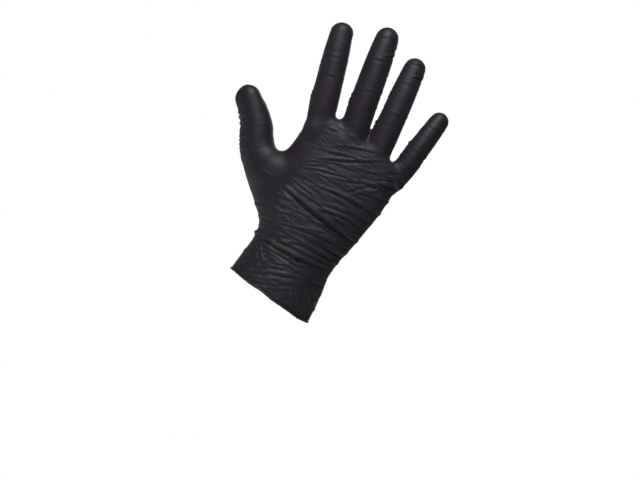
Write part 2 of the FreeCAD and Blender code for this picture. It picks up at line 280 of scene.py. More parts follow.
def close_row(bm, rings):
    """Joins a row of rings into a closed tube."""
    for near, far in zip(rings, rings[1:]):
        bmesh.ops.bridge_loops(bm, edges=list(near | far))
    for end in (rings[0], rings[-1]):
        bmesh.ops.holes_fill(bm, edges=list(end), sides=RING)
    bmesh.ops.recalc_face_normals(bm, faces=bm.faces)


def add_row(target, build):
    """Builds one closed tube in a mesh of its own, and adds it to the others."""
    bm = bmesh.new()
    build(bm)
    part = to_mesh(bm, "part")
    target.from_mesh(part)
    bpy.data.meshes.remove(part)


# %% [markdown]
# ### Palm and wrist
# The cuff stands off the wrist, and the palm is wide and flat. An ellipse would make the palm too lean at
# its edges, so each ring is a superellipse with a squareness of its own, and with one depth for the back
# and one for the palm side.

# %% Palm and wrist
# height, centre in X and Y, half width, half depth on the back and on the palm side, in millimetres, and
# squareness
PALM_ROWS = (
    (0.0, 0.0, 0.0, 36.4, 24.6, 24.6, 2.0), (14.0, -1.0, 0.0, 35.2, 23.6, 23.4, 2.0),
    (27.0, -2.4, 0.4, 33.8, 22.0, 21.6, 2.05), (38.0, -4.6, 0.8, 33.0, 21.0, 20.6, 2.1),
    (50.0, -8.9, 1.0, 36.8, 20.6, 21.4, 2.15), (62.0, -10.2, 1.2, 39.4, 19.8, 21.0, 2.2),
    (76.0, -10.2, 1.4, 41.2, 18.4, 19.6, 2.3), (91.0, -10.8, 1.4, 42.8, 16.8, 17.2, 2.35),
    (106.0, -11.6, 1.0, 43.8, 14.8, 14.8, 2.4), (121.0, -11.4, 0.6, 43.0, 12.8, 13.4, 2.45),
    (131.0, -11.8, 0.2, 45.0, 11.4, 12.2, 2.5), (138.5, -13.3, 0.0, 45.4, 9.6, 10.4, 2.6),
)


def build_palm(bm):
    """The flattened tube of the cuff, the wrist and the palm."""
    rings = []
    for height, x, y, wide, back, palm, square in PALM_ROWS:
        edges = ring(bm, Matrix.Identity(4))
        for vert in {vert for edge in edges for vert in edge.verts}:
            c, s = vert.co.x, vert.co.y
            reach = (abs(c) ** square + abs(s) ** square) ** (-1 / square)
            deep = palm if s > 0 else back
            vert.co = Vector((x + wide * reach * c, y + deep * reach * s, height)) * MM
        rings.append(edges)
    close_row(bm, rings)


# %% [markdown]
# ### Digits
# The film over a digit is a tapering tube with a domed end. Its rings could be placed one by one, but four
# fingers and a thumb repeat one idea, so a smooth curve through the joints places them. The film hangs a
# little loose at the tips and to one side.

# %% Digit tubes
SMALLEST_DOME_RING = 0.02


def smooth_path(points, radii, step):
    """Evenly spaced places and radii on a smooth curve through the given ones."""
    points = [np.append(point, radius) for point, radius in zip(points, radii)]
    padded = [2 * points[0] - points[1]] + points + [2 * points[-1] - points[-2]]
    path = []
    for a, b, c, d in zip(padded, padded[1:], padded[2:], padded[3:]):
        steps = max(2, round(np.linalg.norm(c[:3] - b[:3]) / step))
        for t in np.arange(steps) / steps:
            path.append(0.5 * (2 * b + (c - a) * t + (2 * a - 5 * b + 4 * c - d) * t ** 2
                               + (3 * b - a - 3 * c + d) * t ** 3))
    path.append(points[-1])
    return path


def build_tube(bm, points, radii, depth=1.0, round_end=True, step=2.0 * MM):
    """A tube along a smooth path, whose last stretch closes as a dome."""
    path = smooth_path(points, radii, step)
    end, dome = path[-1][:3], radii[-1]
    rings = []
    for n, spot in enumerate(path):
        along = unit(path[min(n + 1, len(path) - 1)][:3] - path[max(n - 1, 0)][:3])
        left = np.linalg.norm(end - spot[:3])
        radius = spot[3]
        if round_end and left < dome:
            radius *= math.sqrt(max(1 - (1 - left / dome) ** 2, SMALLEST_DOME_RING))
        across, deep = side_axes(along)
        turn = Matrix((across * radius, deep * radius * depth, along)).transposed().to_4x4()
        rings.append(ring(bm, Matrix.Translation(spot[:3]) @ turn))
    close_row(bm, rings)


# how far a root reaches into the palm, the radius before the tip, and how far the film hangs loose beyond
# the tip and towards the little finger: millimetres
ROOT_REACH = {"index": 16, "middle": 16, "ring": 15, "little": 15, "thumb": 0}
TIP_RADII = {"index": 8.3, "middle": 8.5, "ring": 8.1, "little": 7.1, "thumb": 9.4}
TIP_SLACK = {"index": 1.4, "middle": 2.4, "ring": 1.6, "little": 1.2, "thumb": 1.8}
SIDE_SLACK = {"index": 0.8, "middle": 1.1, "ring": 1.7, "little": 2.0, "thumb": 1.7}
SPARE = 0.2 * MM
ROOT_TAPER = 0.86
THUMB_ROOT_RADIUS = 16.5 * MM
DIGIT_DEPTH = 0.95


def build_digit(bm, name):
    """One digit, from a root hidden in the palm to its round tip."""
    places = DIGITS[name]["places"]
    places = [place + np.array([SIDE_SLACK[name] * MM, 0, 0]) * (k + 1) / len(places)
              for k, place in enumerate(places)]
    places[-1] = places[-1] + unit(places[-1] - places[-2]) * TIP_SLACK[name] * MM
    radii = [radius + SPARE for radius in DIGITS[name]["radii"]]
    if ROOT_REACH[name]:
        root = places[0] - unit(places[1] - places[0]) * ROOT_REACH[name] * MM
        places, radii = [root] + places, [radii[0] * ROOT_TAPER] + radii
    else:
        radii[0] = THUMB_ROOT_RADIUS
    build_tube(bm, places, radii + [TIP_RADII[name] * MM], depth=DIGIT_DEPTH)


# %% [markdown]
# ### Pads
# Tubes alone look like a balloon. On a hand the film also lies over the thumb's muscle, the heel and the
# knuckles, and it spans the web beside the thumb. Stretched spheres and one short tube are enough for
# them, since all that is seen is how they round the film.

# %% Pads under the film
# place, half sizes along X, Y and Z, and turn about Y: the thumb's muscle, the heel, the knuckles
PADS = (
    ((-34, 8, 70), (17, 15, 27), -38), ((14, 7, 66), (15, 14, 30), 3), ((-47, -2, 124), (9, 9.5, 15), -20),
    ((-23.5, -2.5, 126), (9, 10.5, 15), -14), ((-2.5, -2.0, 126), (9, 10.3, 15), -10),
    ((18.5, -1, 121), (9, 9.8, 15), 2), ((-52, 3, 78.5), (19, 13.5, 18), -32),
    ((-35.2, 0, 137.0), (5.5, 8.5, 5), -20),
)
# the web between the thumb and the index finger: three places on it and its radii
WEB_PATH = ((-69, 10, 83), (-50.6, 5.5, 90.5), (-45.5, 1.5, 114))
WEB_RADII = (11.5, 8.0, 8.5)


def build_pad(bm, place, half, turn):
    """A rounded pad: a sphere that is stretched and turned."""
    matrix = (Matrix.Translation(Vector(place) * MM) @ Matrix.Rotation(math.radians(turn), 4, "Y")
              @ Matrix.Diagonal((*(value * MM for value in half), 1)))
    bmesh.ops.create_uvsphere(bm, u_segments=32, v_segments=20, radius=1.0, matrix=matrix)


def rough_glove():
    """All the closed parts in one mesh, still overlapping."""
    bm = bmesh.new()
    add_row(bm, build_palm)
    for name in DIGITS:
        add_row(bm, lambda part, name=name: build_digit(part, name))
    for pad in PADS:
        add_row(bm, lambda part, pad=pad: build_pad(part, *pad))
    web = [np.array(point, float) * MM for point in WEB_PATH]
    add_row(bm, lambda part: build_tube(part, web, [r * MM for r in WEB_RADII], round_end=False))
    return to_scene("glove", to_mesh(bm, "glove"))


# %% [markdown]
# ### One skin
# Boolean unions keep a hard line wherever two tubes meet. A voxel remesh gives even small faces, which
# smooth well. The gaps, webs, knuckles and pads are then smoothed on their own, each within its reach,
# and a finer remesh gives the folds enough points.

# %% Fusing and smoothing
def remesh(thing, voxel):
    """Fuses everything in a mesh into one skin of even small faces."""
    modifier = thing.modifiers.new("fuse", "REMESH")
    modifier.mode, modifier.voxel_size = "VOXEL", voxel
    bpy.context.view_layer.update()
    fused = bpy.data.meshes.new_from_object(thing.evaluated_get(bpy.context.evaluated_depsgraph_get()))
    thing.modifiers.clear()
    thing.data = fused


def near(bm, places, reach):
    """The vertices within reach of any of the places."""
    spots = [Vector(place) for place in places]
    return [v for v in bm.verts if any((v.co - spot).length < reach for spot in spots)]


def relax(thing, rounds, places=(), reach=0.0):
    """Smooths a mesh, all over or round some places only."""
    bm = bmesh.new()
    bm.from_mesh(thing.data)
    verts = near(bm, places, reach) if len(places) else bm.verts[:]
    for _ in range(rounds):
        bmesh.ops.smooth_vert(bm, verts=verts, factor=0.5,
                              use_axis_x=True, use_axis_y=True, use_axis_z=True)
    bm.to_mesh(thing.data)
    bm.free()


COARSE_VOXEL = 1.1 * MM
FINE_VOXEL = 0.72 * MM
# rounds, reach and places, in millimetres: the gaps between the fingers, the thumb's pad and web, the
# knuckles, the pads below the fingers, and the thumb's side of the wrist
SMOOTHING = (
    (16, 8, ((-34.8, 0, 142.2), (-10.8, 0, 144.5), (13.1, 0, 140.4))),
    (40, 26, ((-50, -8, 84),)),
    (60, 23, ((-56, 6, 92),)),
    (30, 14, ((-47, -11, 128), (-34, -11, 132), (-23, -11, 131), (-11, -11, 132), (-2, -11, 130),
              (9, -10, 128), (20, -10, 126), (30, -4, 130))),
    (26, 11, ((-50, 11, 134), (-38, 12, 138), (-24, 12, 138), (-11, 12, 139), (1, 12, 138), (13, 12, 135),
              (25, 11, 134))),
    (40, 20, ((-42, 4, 48),)),
)

glove = rough_glove()
remesh(glove, COARSE_VOXEL)
relax(glove, 6)
for rounds, reach, places in SMOOTHING:
    relax(glove, rounds, [np.array(place) * MM for place in places], reach * MM)
remesh(glove, FINE_VOXEL)
relax(glove, 4)
print("smooth glove:", len(glove.data.vertices), "vertices")

# %% [markdown]
# ## Where a point lies on the glove
# Folds and cuts are easiest to give in the glove's own terms: how far along a digit, and how far round
# it. So every point of the skin is matched with the bone that it is nearest to.

# %% Digit coordinates
NAMES = list(DIGITS)
BONES = 3


def digit_frame(name, bone):
    """Start of a bone, its direction and its length."""
    start, end = DIGITS[name]["places"][bone:bone + 2]
    return start, unit(end - start), np.linalg.norm(end - start)


def digit_places(points):
    """For each point: its digit's number, how far along it and round it, and how far from the bone."""
    who = np.full(len(points), -1)
    far, run, round_by = (np.full(len(points), value) for value in (np.inf, 0.0, 0.0))
    for number, name in enumerate(NAMES):
        before = 0.0
        for bone in range(BONES):
            start, along, length = digit_frame(name, bone)
            across, deep = side_axes(along)
            away = points - start
            t = away @ along
            held = np.clip(t, -np.inf if bone == 0 else 0, np.inf if bone == BONES - 1 else length)
            off = away - np.outer(held, along)
            distance = np.linalg.norm(off, axis=1)
            closer = distance < far
            far[closer], who[closer], run[closer] = distance[closer], number, before + held[closer]
            round_by[closer] = np.arctan2(away @ across, -(away @ deep))[closer]
            before += length
    return who, run, round_by, far


# %% [markdown]
# ## Folds
# A fold in a thin film is a raised crease with a hollow along one side. Each one here is a line with a
# bow, a width and a depth, and it tapers out at both ends. A cloth simulation would need a hand inside to
# hang on, and its folds would lie wherever it put them. Displacing the skin is quick, keeps the outline,
# and puts each fold in its place.

# %% Folding tools
# across a fold, in widths: how far it is felt, and where its hollow lies, how wide and how deep that is
FOLD_REACH = 4.5
HOLLOW_AT, HOLLOW_WIDTH, HOLLOW_DEPTH = 1.7, 1.1, 0.75


def fold(u, v, line):
    """Height of one fold over a flat map, in millimetres: a ridge with a hollow beside it."""
    (u0, v0), (u1, v1), bow, width, depth = line
    length = math.hypot(u1 - u0, v1 - v0)
    du, dv = (u1 - u0) / length, (v1 - v0) / length
    s = ((u - u0) * du + (v - v0) * dv) / length
    q = (v - v0) * du - (u - u0) * dv - bow * 4 * s * (1 - s)
    height = np.zeros(len(u))
    on = (s > 0) & (s < 1) & (np.abs(q) < FOLD_REACH * width)
    swell = np.sin(math.pi * s[on]) ** 0.6
    x = q[on] / (width * (0.6 + 0.4 * swell))
    hollow = HOLLOW_DEPTH * np.exp(-((x + HOLLOW_AT) / HOLLOW_WIDTH) ** 2)
    height[on] = depth * swell * (np.exp(-x * x) - hollow)
    return height


def all_folds(u, v, lines):
    """Heights of many folds, added up."""
    return sum((fold(u, v, line) for line in lines), np.zeros(len(u)))


def smooth_step(value, low, high):
    """0 below low, 1 above high, and a smooth rise between."""
    t = np.clip((value - low) / (high - low), 0, 1)
    return t * t * (3 - 2 * t)


def scatter(seed, count, area, direction, length, width, depth, bare=()):
    """Folds in random places of an area, each along the direction that the film runs there."""
    dice = random.Random(seed)
    lines = []
    while len(lines) < count:
        u, v = dice.uniform(*area[0]), dice.uniform(*area[1])
        angle = math.radians(direction(u, v) + dice.gauss(0, 9))
        reach, thick = dice.uniform(*length) / 2, dice.uniform(*width)
        line = ((u - reach * math.cos(angle), v - reach * math.sin(angle)),
                (u + reach * math.cos(angle), v + reach * math.sin(angle)),
                dice.uniform(-0.12, 0.12) * reach, thick, dice.uniform(*depth) * thick)
        if not any(a[0] < u < a[1] and b[0] < v < b[1] for a, b in bare):
            lines.append(line)
    return lines


# %% [markdown]
# ### Folds of the hand
# The long folds of the back are placed one by one, because they show how the film is pulled between thumb
# and little finger. The many small ones are scattered with fixed seeds, along the way that the film runs
# at each spot. They leave out the web of the thumb, where the film is stretched bare.

# %% Folds of the back, wrist and palm
# start and end in X and Z, bow, width, depth: millimetres
BACK_FOLDS = (
    ((-42, 75.5), (30.5, 73.5), -1.0, 1.4, 1.6), ((-22, 90), (34, 100.5), 1.8, 1.1, 0.85),
    ((-35, 106), (10, 135.5), -0.6, 1.1, 0.8), ((-37, 95), (-1, 109), 2.0, 0.9, 0.5),
    ((-39, 35), (25, 45.5), -3.4, 1.35, 1.2), ((-12, 48), (27, 55), -1.4, 1.2, 0.8),
    ((-14, 56), (30, 66.5), 0.6, 1.1, 0.75), ((-17, 66.5), (26, 71), -0.8, 1.0, 0.55),
    ((-26, 5.5), (18, 28.5), 2.0, 1.0, 0.55), ((-19, 15), (-2, 24), 1.4, 0.9, 0.6),
    ((-33, 7.5), (-21, 23), 0.6, 1.0, 0.65), ((-30, 31), (-17, 18), -1.2, 1.0, 0.6),
    ((15, 25), (31, 4), 1.8, 1.0, 0.4), ((20, 27), (32, 12), -1.2, 1.0, 0.32),
    ((-43, 46), (-30, 49), 0.5, 1.0, 0.5), ((8, 104), (31, 113), 1.4, 1.2, 0.9),
    ((4, 112), (27, 119), 1.0, 1.1, 0.7), ((17, 121), (32, 130), -2.0, 1.2, 0.9),
    ((20, 128), (33, 124), 1.6, 1.1, 0.8), ((-30, 116), (4, 129), 1.0, 1.0, 0.5),
    ((-26, 124), (4, 138), 1.2, 1.0, 0.5), ((-40, 99), (-12, 116), 1.2, 0.8, 0.4),
    ((-8, 78), (30, 86), 1.0, 1.0, 0.6), ((-4, 84), (32, 92), 1.4, 1.0, 0.6),
    ((-20, 40), (28, 50), -1.0, 1.0, 0.6), ((-36, 28), (8, 33), 1.2, 1.0, 0.55),
)
PALM_FOLDS = (
    ((-30, 58), (-42, 104), -9.0, 1.6, 1.1), ((-50, 104), (24, 116), 4.0, 1.5, 0.9),
    ((-34, 122), (30, 112), -4.5, 1.5, 0.9), ((-36, 40), (24, 44), 2.0, 1.3, 0.9),
    ((-30, 48), (27, 54), -2.0, 1.2, 0.8), ((-12, 62), (-20, 112), 3.0, 1.2, 0.6),
    ((-30, 20), (30, 27), 1.5, 1.2, 0.6),
)


def back_run(u, v):
    """The way the film runs on the back: round the wrist, and up to the little finger above the palm."""
    if v < 26:
        return 24 if u < 12 else -52
    if v < 68:
        return 14
    return 4 if v < 100 else 26


def palm_run(u, v):
    """The way the film runs on the palm side: round the wrist, and then round the thumb's pad."""
    return 4 if v < 56 else 62 - 0.9 * (u + 40)


WEB_AREA = ((-90, -34), (72, 125))
HAND_AREA = ((-46, 36), (3, 136))
BACK_SMALL = (scatter(11, 130, HAND_AREA, back_run, (9, 30), (0.7, 1.2), (0.28, 0.62), [WEB_AREA])
              + scatter(12, 70, ((-36, 36), (4, 60)), back_run, (5, 15), (0.65, 0.95), (0.22, 0.48))
              + scatter(13, 45, ((-48, -22), (44, 76)), lambda u, v: -42 + (v % 3) * 36, (6, 16),
                        (0.65, 0.95), (0.10, 0.24)))
PALM_SMALL = scatter(21, 150, HAND_AREA, palm_run, (8, 26), (0.7, 1.2), (0.3, 0.6))
print("small folds:", len(BACK_SMALL), "on the back,", len(PALM_SMALL), "on the palm side")


# %% [markdown]
# ### Folds of the digits
# On a finger the film gathers over the joints and along the sides. A digit is nearly round, so its folds
# are drawn on a flat map, round the digit one way and along it the other way.

# %% Folds of the digits
# digit, then the start and end as angle round in degrees and distance along, then bow, width and depth
DIGIT_FOLDS = (
    ("thumb", -125, 44, -35, 48, 0.8, 1.0, 0.8), ("thumb", -120, 49, -45, 50, -0.8, 1.0, 0.7),
    ("thumb", -125, 54, -25, 57, 0.8, 1.1, 0.9), ("thumb", -120, 60, -50, 58, -0.7, 1.0, 0.7),
    ("thumb", -125, 66, -30, 71, 1.0, 1.1, 0.9), ("thumb", -110, 73, -35, 76, 0.9, 1.1, 0.9),
    ("thumb", -115, 79, -45, 79, -0.8, 1.0, 0.7), ("thumb", -60, 62, 0, 66, 0.7, 0.9, 0.4),
    ("middle", 20, 60, 110, 66, 0.8, 1.0, 0.6), ("middle", 30, 66, 105, 74, -0.7, 1.0, 0.6),
    ("middle", -70, 70, 10, 76, 0.8, 1.0, 0.4), ("ring", 10, 60, 110, 64, 0.9, 1.0, 0.7),
    ("ring", 20, 66, 100, 66, -0.9, 0.9, 0.6), ("ring", -20, 70, 70, 73, 0.8, 1.0, 0.5),
    ("little", 20, 40, 100, 46, 0.7, 0.9, 0.4), ("index", -110, 8, -40, 13, 0.8, 1.0, 0.6),
    ("index", -110, 12, -50, 16, -0.6, 0.9, 0.5), ("ring", -120, 17, -60, 20, 0.5, 0.9, 0.7),
    ("middle", -120, 24, -60, 27, 0.5, 0.9, 0.6), ("little", -120, 20, -50, 23, 0.6, 0.9, 0.5),
)


def digit_folds(name):
    """Folds on a digit, on a map of angle times radius against distance from the knuckle."""
    dice = random.Random(f"folds of the {name}")
    places, radius = DIGITS[name]["places"], DIGITS[name]["radii"][1] / MM
    joints = np.cumsum([np.linalg.norm(b - a) / MM for a, b in zip(places, places[1:])])
    lines = []
    for joint in joints[:2]:
        for _ in range(4):
            v, half = joint + dice.uniform(-5, 5), dice.uniform(0.5, 1.0) * radius
            lines.append(((-half, v + dice.uniform(-1, 1)), (half, v), dice.uniform(-1, 1), 0.9,
                          dice.uniform(0.05, 0.14)))
        for side in (-1, 1):
            for _ in range(3):
                v, at = joint + dice.uniform(-6, 6), side * (math.pi - dice.uniform(0.2, 1.1)) * radius
                lines.append(((at - 5, v), (at + 5, v + dice.uniform(-2, 2)), dice.uniform(-1, 1), 0.9,
                              dice.uniform(0.3, 0.6)))
    for side in (-1, 1):
        for _ in range(7):
            v, at = dice.uniform(6, joints[-1] - 5), side * dice.uniform(1.1, 1.9) * radius
            lean = dice.uniform(-2.5, 2.5)
            lines.append(((at - 4, v - lean), (at + 4, v + lean), 0.3, 0.75, dice.uniform(0.15, 0.4)))
    return lines + [((math.radians(a) * radius, v), (math.radians(b) * radius, w), bow, width, depth)
                    for owner, a, v, b, w, bow, width, depth in DIGIT_FOLDS if owner == name]


# small bulges where the film is gathered: digit, distance along, angle round in degrees, half sizes along
# and round, and height
BULGES = (
    ("middle", 22, -90, 4, 5, 0.7), ("ring", 17, -90, 4, 5, 0.8), ("index", 8, -95, 5, 5, 0.6),
    ("little", 21, -90, 5, 5, 0.6), ("thumb", 62, -80, 3, 5, 0.7), ("thumb", 53, -80, 3, 5, 0.8),
    ("thumb", 44, -80, 3, 5, 0.6), ("little", 9, 85, 3, 5, 0.35), ("little", 2, 85, 2.5, 5, 0.3),
    ("thumb", 88, -75, 6, 6, 1.2), ("thumb", 88, 85, 9, 7, -1.3), ("index", 66, 80, 5, 6, 0.5),
)


# %% [markdown]
# ### Folding the film
# Each point moves along its own normal by the sum of all the folds that reach it. Back, palm side and
# digits have a map each, and soft masks fade one into the next. Seen edge-on a map would draw its folds
# out, so they are low at the edge of the hand, and bumps on the outline stand for them there. How slack
# the film is at each point is stored for the material.

# %% Folding the film
def waviness(points, scale, seed):
    """Slow, even unevenness of the film, from -1 to 1."""
    shift = Vector((seed, 2.7 * seed, -seed))
    return np.array([noise.noise(Vector(point) * scale + shift) for point in points])


EDGE_REACH = 7
# where a fold runs over the edge of the hand: X, Z, half height and how far it stands out, in millimetres
EDGE_FOLDS = (
    (-38, 34, 1.6, 2.0), (-42, 45.5, 1.2, 0.6), (-47, 51, 1.2, 0.5), (33, 101, 1.6, 0.8),
    (31.5, 112, 1.5, 0.7), (31, 73.5, 1.4, 0.7), (29, 51, 1.5, 0.6), (32, 120, 1.6, 0.5),
    (32.5, 128, 1.8, 0.5), (30.5, 62, 1.3, 0.5), (35, 12, 1.6, 0.5), (-36, 18, 1.5, 0.5),
)


def edge_folds(x, z):
    """Height of the bumps that the folds make on the outline."""
    return sum(high * np.exp(-((x - u) / EDGE_REACH) ** 2 - ((z - v) / half) ** 2)
               for u, v, half, high in EDGE_FOLDS)


# masks, each from where it is 0 to where it is 1: along a digit, on the back by how the skin faces, over
# the stretched web by X and Z in millimetres, away from the edge of the hand, and on that edge
DIGIT_FADE = (-5, 11)
BACK_FADE = (-0.28, 0.12)
WEB_FADE_X, WEB_FADE_Z = (30, 46), (66, 82)
FACING_FADE = (0.15, 0.6)
EDGE_FADE = (-0.85, -0.35)
FINGER_START, THUMB_START = 1, 34
DIGIT_NEAR = 20 * MM
# how strong each kind of fold and waviness is
WEB_TIGHTNESS, AT_EDGE = 0.85, 0.25
BACK_GAIN, PALM_SMALL_GAIN = 1.5, 0.9
BROAD_WAVES, SMALL_WAVES, TIGHT_WAVES = 0.45, 0.10, 0.10


def fold_film(mesh):
    """Displaces the smooth skin along its normals, and stores how slack the film is at each point."""
    points, normals = rows_of(mesh.vertices, "co"), rows_of(mesh.vertex_normals, "vector")
    x, y, z = (points / MM).T
    who, run, round_by, far = digit_places(points)
    run = run / MM
    free = np.zeros(len(points))
    height = np.zeros(len(points))
    for number, name in enumerate(NAMES):
        start = THUMB_START if name == "thumb" else FINGER_START
        mine = (who == number) & (far < DIGIT_NEAR)
        radius = DIGITS[name]["radii"][1] / MM
        on = np.where(mine, smooth_step(run, start + DIGIT_FADE[0], start + DIGIT_FADE[1]), 0)
        free = np.maximum(free, on)
        height[mine] += all_folds(round_by[mine] * radius, run[mine], digit_folds(name)) * on[mine]
        for digit_name, v, angle, half_v, half_u, high in BULGES:
            if digit_name == name:
                u = (round_by[mine] - math.radians(angle)) * radius
                height[mine] += high * np.exp(-(u / half_u) ** 2 - ((run[mine] - v) / half_v) ** 2)
    body = 1 - free
    back = smooth_step(-normals[:, 1], *BACK_FADE)
    stretched = smooth_step(-x, *WEB_FADE_X) * smooth_step(z, *WEB_FADE_Z)
    slack = body * (1 - WEB_TIGHTNESS * stretched)
    turned = AT_EDGE + (1 - AT_EDGE) * smooth_step(np.abs(normals[:, 1]), *FACING_FADE)
    on_back = BACK_GAIN * all_folds(x, z, BACK_FOLDS) + slack * all_folds(x, z, BACK_SMALL)
    on_palm = all_folds(x, z, PALM_FOLDS) + PALM_SMALL_GAIN * all_folds(x, z, PALM_SMALL)
    height += back * body * turned * on_back
    height += (1 - back) * body * turned * on_palm
    height += slack * (BROAD_WAVES * waviness(points, 50, 3) + SMALL_WAVES * waviness(points, 140, 8))
    height += (1 - slack) * TIGHT_WAVES * waviness(points, 90, 5)
    height += body * edge_folds(x, z) * smooth_step(-np.abs(normals[:, 1]), *EDGE_FADE)
    moved = points + normals * height[:, None] * MM
    mesh.vertices.foreach_set("co", moved.ravel())
    attribute = mesh.attributes.new("slack", "FLOAT", "POINT")
    attribute.data.foreach_set("value", slack.astype(np.float32))
    mesh.update()
    print("folded, deepest and highest in mm:", round(height.min(), 2), round(height.max(), 2))


fold_film(glove.data)
relax(glove, 1)

# %% [markdown]
# ## Nitrile
# Nitrile film has a satin skin: black with a breath of violet, and a grey sheen that follows the form. It
# is a little uneven in colour and gloss, and fine wrinkles lie over its slack parts only. An image could
# paint them, but it would stretch over the digits. So one node group makes that relief for the film and
# for the rim, from noise drawn out along the way that the film runs.

# %% Film relief
# how much the crossing wrinkles, the sharp creases and the grain add to the relief, and what is left of it
# where the film is tight
CROSSING, SHARP, GRAIN = 0.45, -1.9, 0.035
TIGHT_SHARE = 0.1


def make_relief():
    """A node group: height of the fine wrinkles and of the grain, and a slow variation from 0 to 1."""
    group = bpy.data.node_groups.new("film_relief", "ShaderNodeTree")
    group.interface.new_socket("Slack", in_out="INPUT", socket_type="NodeSocketFloat")
    for name in ("Height", "Variation"):
        group.interface.new_socket(name, in_out="OUTPUT", socket_type="NodeSocketFloat")
    nodes, links = group.nodes, group.links
    entry, result = nodes.new("NodeGroupInput"), nodes.new("NodeGroupOutput")
    place = nodes.new("ShaderNodeTexCoord")

    def noise_of(scale, turn, detail, stretch):
        mapping, texture = nodes.new("ShaderNodeMapping"), nodes.new("ShaderNodeTexNoise")
        set_inputs(mapping, {"Rotation": (0, math.radians(turn), 0), "Scale": stretch})
        set_inputs(texture, {"Scale": scale, "Detail": detail, "Roughness": 0.6})
        links.new(place.outputs["Object"], mapping.inputs["Vector"])
        links.new(mapping.outputs["Vector"], texture.inputs["Vector"])
        return texture.outputs[0]

    def math_of(operation, a, b=None, c=None):
        node = nodes.new("ShaderNodeMath")
        node.operation = operation
        for socket, value in zip(node.inputs, (a, b, c)):
            if isinstance(value, bpy.types.NodeSocket):
                links.new(value, socket)
            elif value is not None:
                socket.default_value = value
        return node.outputs[0]

    wrinkles = noise_of(420, 16, 3, (0.22, 1.0, 1.0))
    crossing = noise_of(520, -38, 2, (0.3, 1.0, 1.0))
    grain = noise_of(3200, 0, 2, (1, 1, 1))
    slow = noise_of(26, 0, 3, (1, 1, 1))
    sharp = math_of("ABSOLUTE", math_of("SUBTRACT", noise_of(190, 12, 1, (0.25, 1.0, 1.0)), 0.5))
    both = math_of("MULTIPLY_ADD", crossing, CROSSING, wrinkles)
    both = math_of("MULTIPLY_ADD", sharp, SHARP, both)
    loose = math_of("MULTIPLY_ADD", entry.outputs["Slack"], 1 - TIGHT_SHARE, TIGHT_SHARE)
    lifted = math_of("MULTIPLY", both, loose)
    links.new(math_of("MULTIPLY_ADD", grain, GRAIN, lifted), result.inputs["Height"])
    links.new(slow, result.inputs["Variation"])
    return group


# %% Nitrile
NOISE_LOW, NOISE_HIGH = 0.3, 0.7


def scale_to(nodes, links, source, low, high):
    """Spreads the middle range of a noise from low to high."""
    node = nodes.new("ShaderNodeMapRange")
    set_inputs(node, {"From Min": NOISE_LOW, "From Max": NOISE_HIGH, "To Min": low, "To Max": high})
    links.new(source, node.inputs["Value"])
    return node.outputs["Result"]


def nitrile(name, relief, dark, light, smooth, rough, bump):
    """Satin black nitrile, with a range of colour and of roughness."""
    material = bpy.data.materials.new(name)
    material.use_nodes = True
    nodes, links = material.node_tree.nodes, material.node_tree.links
    shader = nodes["Principled BSDF"]
    slack = nodes.new("ShaderNodeAttribute")
    slack.attribute_name = "slack"
    film = nodes.new("ShaderNodeGroup")
    film.node_tree = relief
    links.new(slack.outputs["Fac"], film.inputs["Slack"])
    colour = nodes.new("ShaderNodeMix")
    colour.data_type = "RGBA"
    set_inputs(colour, {"A": (*dark, 1), "B": (*light, 1)})
    links.new(scale_to(nodes, links, film.outputs["Variation"], 0, 1), colour.inputs["Factor"])
    links.new(colour.outputs["Result"], shader.inputs["Base Color"])
    links.new(scale_to(nodes, links, film.outputs["Variation"], smooth, rough), shader.inputs["Roughness"])
    lift = nodes.new("ShaderNodeBump")
    set_inputs(lift, {"Strength": 1.0, "Distance": bump})
    links.new(film.outputs["Height"], lift.inputs["Height"])
    links.new(lift.outputs["Normal"], shader.inputs["Normal"])
    set_inputs(shader, {"IOR": 1.5, "Specular IOR Level": 0.31,
                        "Sheen Weight": 0.05, "Sheen Roughness": 0.5})
    return material


RELIEF = make_relief()
FILM = nitrile("nitrile_film", RELIEF, dark=(0.0092, 0.0062, 0.0112), light=(0.0146, 0.0102, 0.0172),
               smooth=0.47, rough=0.60, bump=0.00060)
RIM = nitrile("rolled_rim", RELIEF, dark=(0.0072, 0.0053, 0.0090), light=(0.0112, 0.0085, 0.0138),
              smooth=0.40, rough=0.50, bump=0.0004)
print("finishes:", FILM.name, RIM.name)

# %% [markdown]
# ## Trimming and cutting
# The film is trimmed level above the rolled rim, as it is on the form. A real glove has no cuts, but a
# piece here can follow two bones at most. So the skin is cut square across each digit, between one joint
# and the next, where it turns with one bone only.

# %% Cuts
BEAD = 0.9 * MM
TRIM = 2 * BEAD
CUFF_TOP = 58 * MM
# where a finger's film leaves the palm, along its bone in millimetres
KNUCKLE_START = {"index": 4.8, "middle": 6.2, "ring": 8.0, "little": 5.0}
TIP_ROOM = 6.0 * MM
SHARE = 0.33  # how much of a bone's length, at each end, bends with the joint
HAIR = 0.1 * MM  # how little a cut lies before the next bend starts
CUT_REACH, THUMB_CUT_REACH = 13.5 * MM, 19 * MM
SNAP = 1e-7


def finger_cuts(name):
    """Where a finger is cut: bone and distance along it."""
    first, second = (digit_frame(name, bone)[2] for bone in (0, 1))
    return [(0, KNUCKLE_START[name] * MM), (0, first * (1 - SHARE) - HAIR),
            (1, (second * (1 + SHARE) - TIP_ROOM) / 2)]


THUMB_CUTS = [(1, 8.2 * MM), (1, 18.8 * MM)]
CUTS = {name: finger_cuts(name) for name in FINGERS} | {"thumb": THUMB_CUTS}
THUMB_LINE = -53.0 * MM  # the palm ends and the thumb's root starts at this X
ROOT_TOP = 108 * MM


def past_cut(points, name, cut):
    """Which points lie beyond a cut."""
    start, along, _ = digit_frame(name, cut[0])
    return (points - start) @ along > cut[1]


